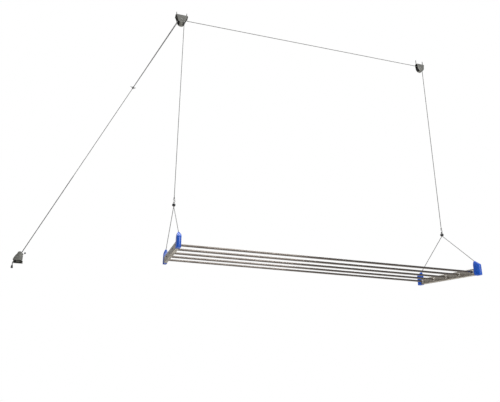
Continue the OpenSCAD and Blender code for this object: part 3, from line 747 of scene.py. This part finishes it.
# a smooth line through the points
def smoothRoute(points, steps):
    padded = [points[0] * 2 - points[1]] + points + [points[-1] * 2 - points[-2]]
    route = []
    for a, b, c, d in zip(padded, padded[1:], padded[2:], padded[3:]):
        for k in range(steps):
            t = k / steps
            route.append(0.5 * (2 * b + (c - a) * t + (2 * a - 5 * b + 4 * c - d) * t * t
                                + (3 * b - a - 3 * c + d) * t ** 3))
    return route + [points[-1]]


across = runWay.cross(Vector((0, 1, 0))).normalized()
up = runWay.cross(across).normalized()
wound = []
for k in range(int(knot["turns"] * knot["steps"]) + 1):
    angle = 2 * math.pi * k / knot["steps"]
    along = knot["gap"] * (k / knot["steps"] - knot["turns"] / 2) + knot["shift"]
    wound.append(knotAt + runWay * along
                 + across * knot["radius"] * math.cos(angle) + up * knot["radius"] * math.sin(angle))
cordKnot = sweptCord("cordKnot", wound, knot["cord"], "liftCord", 0.0012, 12)
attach(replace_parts(cordKnot, "cord_knot"), "cord_knot")
for number, points in enumerate(knot["cutEnds"]):
    route = smoothRoute([knotAt + Vector(p) for p in points], 8)
    piece = sweptCord(f"cutCordEnd{number + 1}", route, knot["cutEndCord"], "liftCord", 0.0012)
    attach(piece, "cord_knot")
bm = bmesh.new()
lathe(bm, knot["core"], knotAt, runWay, 24)
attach(addObject("knotCore", finishBmesh(bm, "knotCore"), "pullCord", 50), "cord_knot")
print("knots")

# ceiling pulleys: plates, cheeks, axles with domed heads, screws and grooved wheels
pulleys = {"double": {"x": 0, "y": 0, "outside": 0.041, "screwGap": 0.068},
           "single": {"x": cords["singleX"], "y": cords["nearY"], "outside": 0.023, "screwGap": 0.056}}
axle = {"radius": 0.003, "head": 0.0052, "dome": 0.0022, "bulge": ((0.97, 0.3), (0.8, 0.68), (0.45, 0.94))}
mountScrew = {**panScrew, "head": 0.0046, "crown": 0.0028, "shank": 0.0021, "long": 0.0375}
baseThick = 0.0025


# half of a pin with a domed head, from its middle out to the dome's crown
def axleHalf(half, way):
    head, dome = axle["head"], axle["dome"]
    side = [(axle["radius"], way * half), (head, way * half)]
    side += [(head * wide, way * (half + dome * high)) for wide, high in axle["bulge"]]
    return side + [(0, way * (half + dome))]


for name, look in pulleys.items():
    piece = softened(f"{name}_pulley_plate", name + "PulleyPlate", "baseSteel", 0.0005, 3)
    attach(piece, "fixings")
    piece = softened(f"{name}_pulley_housing", name + "PulleyHousing", "housingSteel", 0.0005, 3)
    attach(piece, "fixings")
    bm = bmesh.new()
    profile = axleHalf(look["outside"] / 2, -1)[::-1] + axleHalf(look["outside"] / 2, 1)
    lathe(bm, profile, (look["x"], look["y"], -cords["axleDrop"]), (0, 1, 0), 40)
    piece = addObject(name + "PulleyAxle", finishBmesh(bm, name + "PulleyAxle"), "pinSteel", 40)
    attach(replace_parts(piece, f"{name}_pulley_axle"), "fixings")
    bm = bmesh.new()
    crossScrew(bm, (look["x"] - look["screwGap"] / 2, look["y"], -baseThick), (0, 0, -1), mountScrew)
    piece = repeated(rowTree, bm, name + "PulleyScrews", "screwSteel",
                     Count=2, Step=(look["screwGap"], 0, 0))
    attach(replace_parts(piece, f"{name}_pulley_screws"), "fixings")
for node, name in (("near_wheel", "nearWheel"), ("far_wheel", "farWheel"), ("single_wheel", "singleWheel")):
    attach(softened(node, name, "wheelNylon", 0.0004, 2), node)
print("pulleys")

# wall cleat: pressed hood over a toothed jaw and a cam with its lever
cleat = {"firstScrew": (-0.860, 0.33 - baseThick, -1.662), "screwStep": 0.034,
         "ballAt": Vector((-0.807, 0.308, -1.608)), "pin": Vector((-0.83336, 0.308, -1.63847)),
         "ball": 0.005, "ballNeck": 0.0021, "ballCollar": 0.003}
lever = {"start": 0.0032, "boss": 0.002, "bossEnd": 0.0075, "rodFrom": 0.009, "rod": 0.0016,
         "tipFrom": 0.009, "tipTo": 0.0068, "tip": 0.0021, "end": 0.003}
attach(softened("cleat_plate", "cleatPlate", "baseSteel", 0.0005, 3), "fixings")
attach(softened("cleat_housing", "cleatHousing", "housingSteel", 0.0012, 4), "fixings")
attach(softened("cleat_jaw", "cleatJaw", "pinSteel", 0.0002, 2), "fixings")
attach(softened("cleat_pin", "cleatPin", "pinSteel", 0.0004, 3), "fixings")
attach(softened("cleat_cam", "cleatCam", "pinSteel", 0.0004, 2), "lever")
bm = bmesh.new()
crossScrew(bm, cleat["firstScrew"], (0, -1, 0), mountScrew)
piece = repeated(rowTree, bm, "cleatScrews", "screwSteel", Count=2, Step=(cleat["screwStep"], 0, 0))
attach(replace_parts(piece, "cleat_screws"), "fixings")
arm = cleat["ballAt"] - cleat["pin"]
long = arm.length
profile = [(0, lever["start"]), (lever["boss"], lever["start"]), (lever["boss"], lever["bossEnd"]),
           (lever["rod"], lever["rodFrom"]), (lever["rod"], long - lever["tipFrom"]),
           (lever["tip"], long - lever["tipTo"]), (lever["tip"], long - lever["end"]),
           (0, long - lever["end"])]
bm = bmesh.new()
lathe(bm, profile, cleat["pin"], arm, 32)
piece = addObject("cleatLever", finishBmesh(bm, "cleatLever"), "leverSteel", 40)
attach(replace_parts(piece, "cleat_lever"), "lever")
r, neck = cleat["ball"], cleat["ballNeck"]
profile = [(neck, -r * 0.72), (neck, -r * 0.9), (cleat["ballCollar"], -r * 0.95)]
profile += arc((0, 0), r, -50, 90, 22)[:-1] + [(0, r)]
bm = bmesh.new()
lathe(bm, profile, cleat["ballAt"], arm, 40)
piece = addObject("cleatBall", finishBmesh(bm, "cleatBall"), "beadBlack", 60)
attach(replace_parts(piece, "cleat_ball"), "lever")
print("wall cleat")

# bell shaped knob on the tail, with grip ribs round its skirt
knob = {"top": Vector(cords["tail"][-1]), "ribs": 14, "ribAt": Vector((0.0059, 0, -0.0138)),
        "ribHalf": (0.0006, 0.00075, 0.0030),
        "profile": [(0, 0), (0.0030, 0), (0.0038, -0.0004), (0.0044, -0.0016), (0.0047, -0.005),
                    (0.0054, -0.0088), (0.0062, -0.0118), (0.0064, -0.0150), (0.0061, -0.0172),
                    (0.0052, -0.0184), (0.0034, -0.0190), (0.0026, -0.0190), (0.0024, -0.0172),
                    (0, -0.0172)]}
bm = bmesh.new()
lathe(bm, knob["profile"], knob["top"], (0, 0, 1), 48)
pullKnob = addObject("pullKnob", finishBmesh(bm, "pullKnob"), "knobGrey", 45)
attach(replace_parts(pullKnob, "pull_knob"), "pull_knob")
bm = bmesh.new()
rib = bmesh.ops.create_uvsphere(bm, u_segments=10, v_segments=8, radius=1.0)
bmesh.ops.scale(bm, verts=rib["verts"], vec=knob["ribHalf"])
bmesh.ops.translate(bm, verts=rib["verts"], vec=knob["top"] + knob["ribAt"])
piece = repeated(ringTree, bm, "pullKnobRibs", "knobGrey", Count=knob["ribs"],
                 Turn=(0, 0, 2 * math.pi / knob["ribs"]), Centre=tuple(knob["top"]))
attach(piece, "pull_knob")
print("pull knob")

# the cord through the cleat runs on into the tail
cleatWay = (Vector(cords["cleatRoute"][0]) - cords["cleatIn"]).normalized()
inside = [cords["cleatIn"] + cleatWay * d for d in (0, 0.006, 0.02, 0.04)]
route = [Vector(p) for p in (*inside, *cords["cleatRoute"], *cords["tail"])]
piece = sweptCord("tailCord", route, cords["pullDiameter"], "pullCord", 0.0015)
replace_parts(piece, "cleat_cord", "tail_cord")
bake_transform(piece)

# pale floor below, soft lights, and a room that is bright above and dim below
studio = {"floorZ": -3.05, "floorX": 0.9, "floorHalf": 4.5, "floorTint": (0.80, 0.79, 0.77),
          "backdrop": 1.0, "above": (0.95, 0.96, 1.0), "below": (0.05, 0.04, 0.035),
          "dimTo": -0.35, "brightFrom": 0.45, "strength": 0.48}
softLights = {
    "keyLight": {"at": (2.4, -6.5, 0.6), "to": (0.9, 0, -1.5), "size": (3.2, 2.4), "power": 150},
    "topLight": {"at": (0.9, 0.6, 4.5), "to": (0.9, 0, -1.6), "size": (6.0, 2.6), "power": 330},
    "rimLight": {"at": (3.6, 4.2, 1.2), "to": (0.9, 0, -1.4), "size": (3.0, 1.2), "power": 45},
}


# what the camera sees behind the rack is plain white; what lights it is brighter above
def makeWorld(look):
    world = bpy.data.worlds.new("roomTone")
    world.use_nodes = True
    tree = world.node_tree
    tree.nodes.clear()
    coord = addNode(tree, "ShaderNodeTexCoord")
    height = addNode(tree, "ShaderNodeSeparateXYZ", {0: coord.outputs["Generated"]}).outputs[2]
    share = spread(tree, height, 0.0, 1.0, look["dimTo"], look["brightFrom"])
    tone = blendColours(tree, share, look["below"], look["above"])
    lit = addNode(tree, "ShaderNodeBackground", {"Color": tone, "Strength": look["strength"]})
    seen = addNode(tree, "ShaderNodeBackground", {"Color": (1, 1, 1, 1), "Strength": look["backdrop"]})
    ray = addNode(tree, "ShaderNodeLightPath").outputs["Is Camera Ray"]
    both = addNode(tree, "ShaderNodeMixShader", {0: ray, 1: lit.outputs[0], 2: seen.outputs[0]})
    addNode(tree, "ShaderNodeOutputWorld", {"Surface": both.outputs[0]})
    bpy.context.scene.world = world
    bpy.context.scene.view_settings.view_transform = "Standard"


def makeFloor(look):
    bm = bmesh.new()
    half = look["floorHalf"]
    bm.faces.new([bm.verts.new((look["floorX"] + x * half, y * half, look["floorZ"]))
                  for x, y in ((-1, -1), (1, -1), (1, 1), (-1, 1))])
    mesh = bpy.data.meshes.new("floor")
    bm.to_mesh(mesh)
    bm.free()
    material, tree, shader = newMaterial("floorPaint")
    speckle = noise(tree, objectPlace(tree), 6.0, 4.0)
    tint = look["floorTint"]
    colour = blendColours(tree, speckle, [0.96 * c for c in tint], tint)
    tree.links.new(colour, shader.inputs["Base Color"])
    shader.inputs["Roughness"].default_value = 0.9
    mesh.materials.append(material)
    floor = bpy.data.objects.new("floor", mesh)
    bpy.context.scene.collection.objects.link(floor)


def makeLights():
    for name, spot in softLights.items():
        data = bpy.data.lights.new(name, "AREA")
        data.shape, data.size, data.size_y = "RECTANGLE", *spot["size"]
        data.energy = spot["power"]
        light = bpy.data.objects.new(name, data)
        light.location = spot["at"]
        aim = Vector(spot["to"]) - Vector(spot["at"])
        light.rotation_euler = aim.to_track_quat("-Z", "Y").to_euler()
        bpy.context.scene.collection.objects.link(light)


makeWorld(studio)
makeFloor(studio)
makeLights()
print("studio")
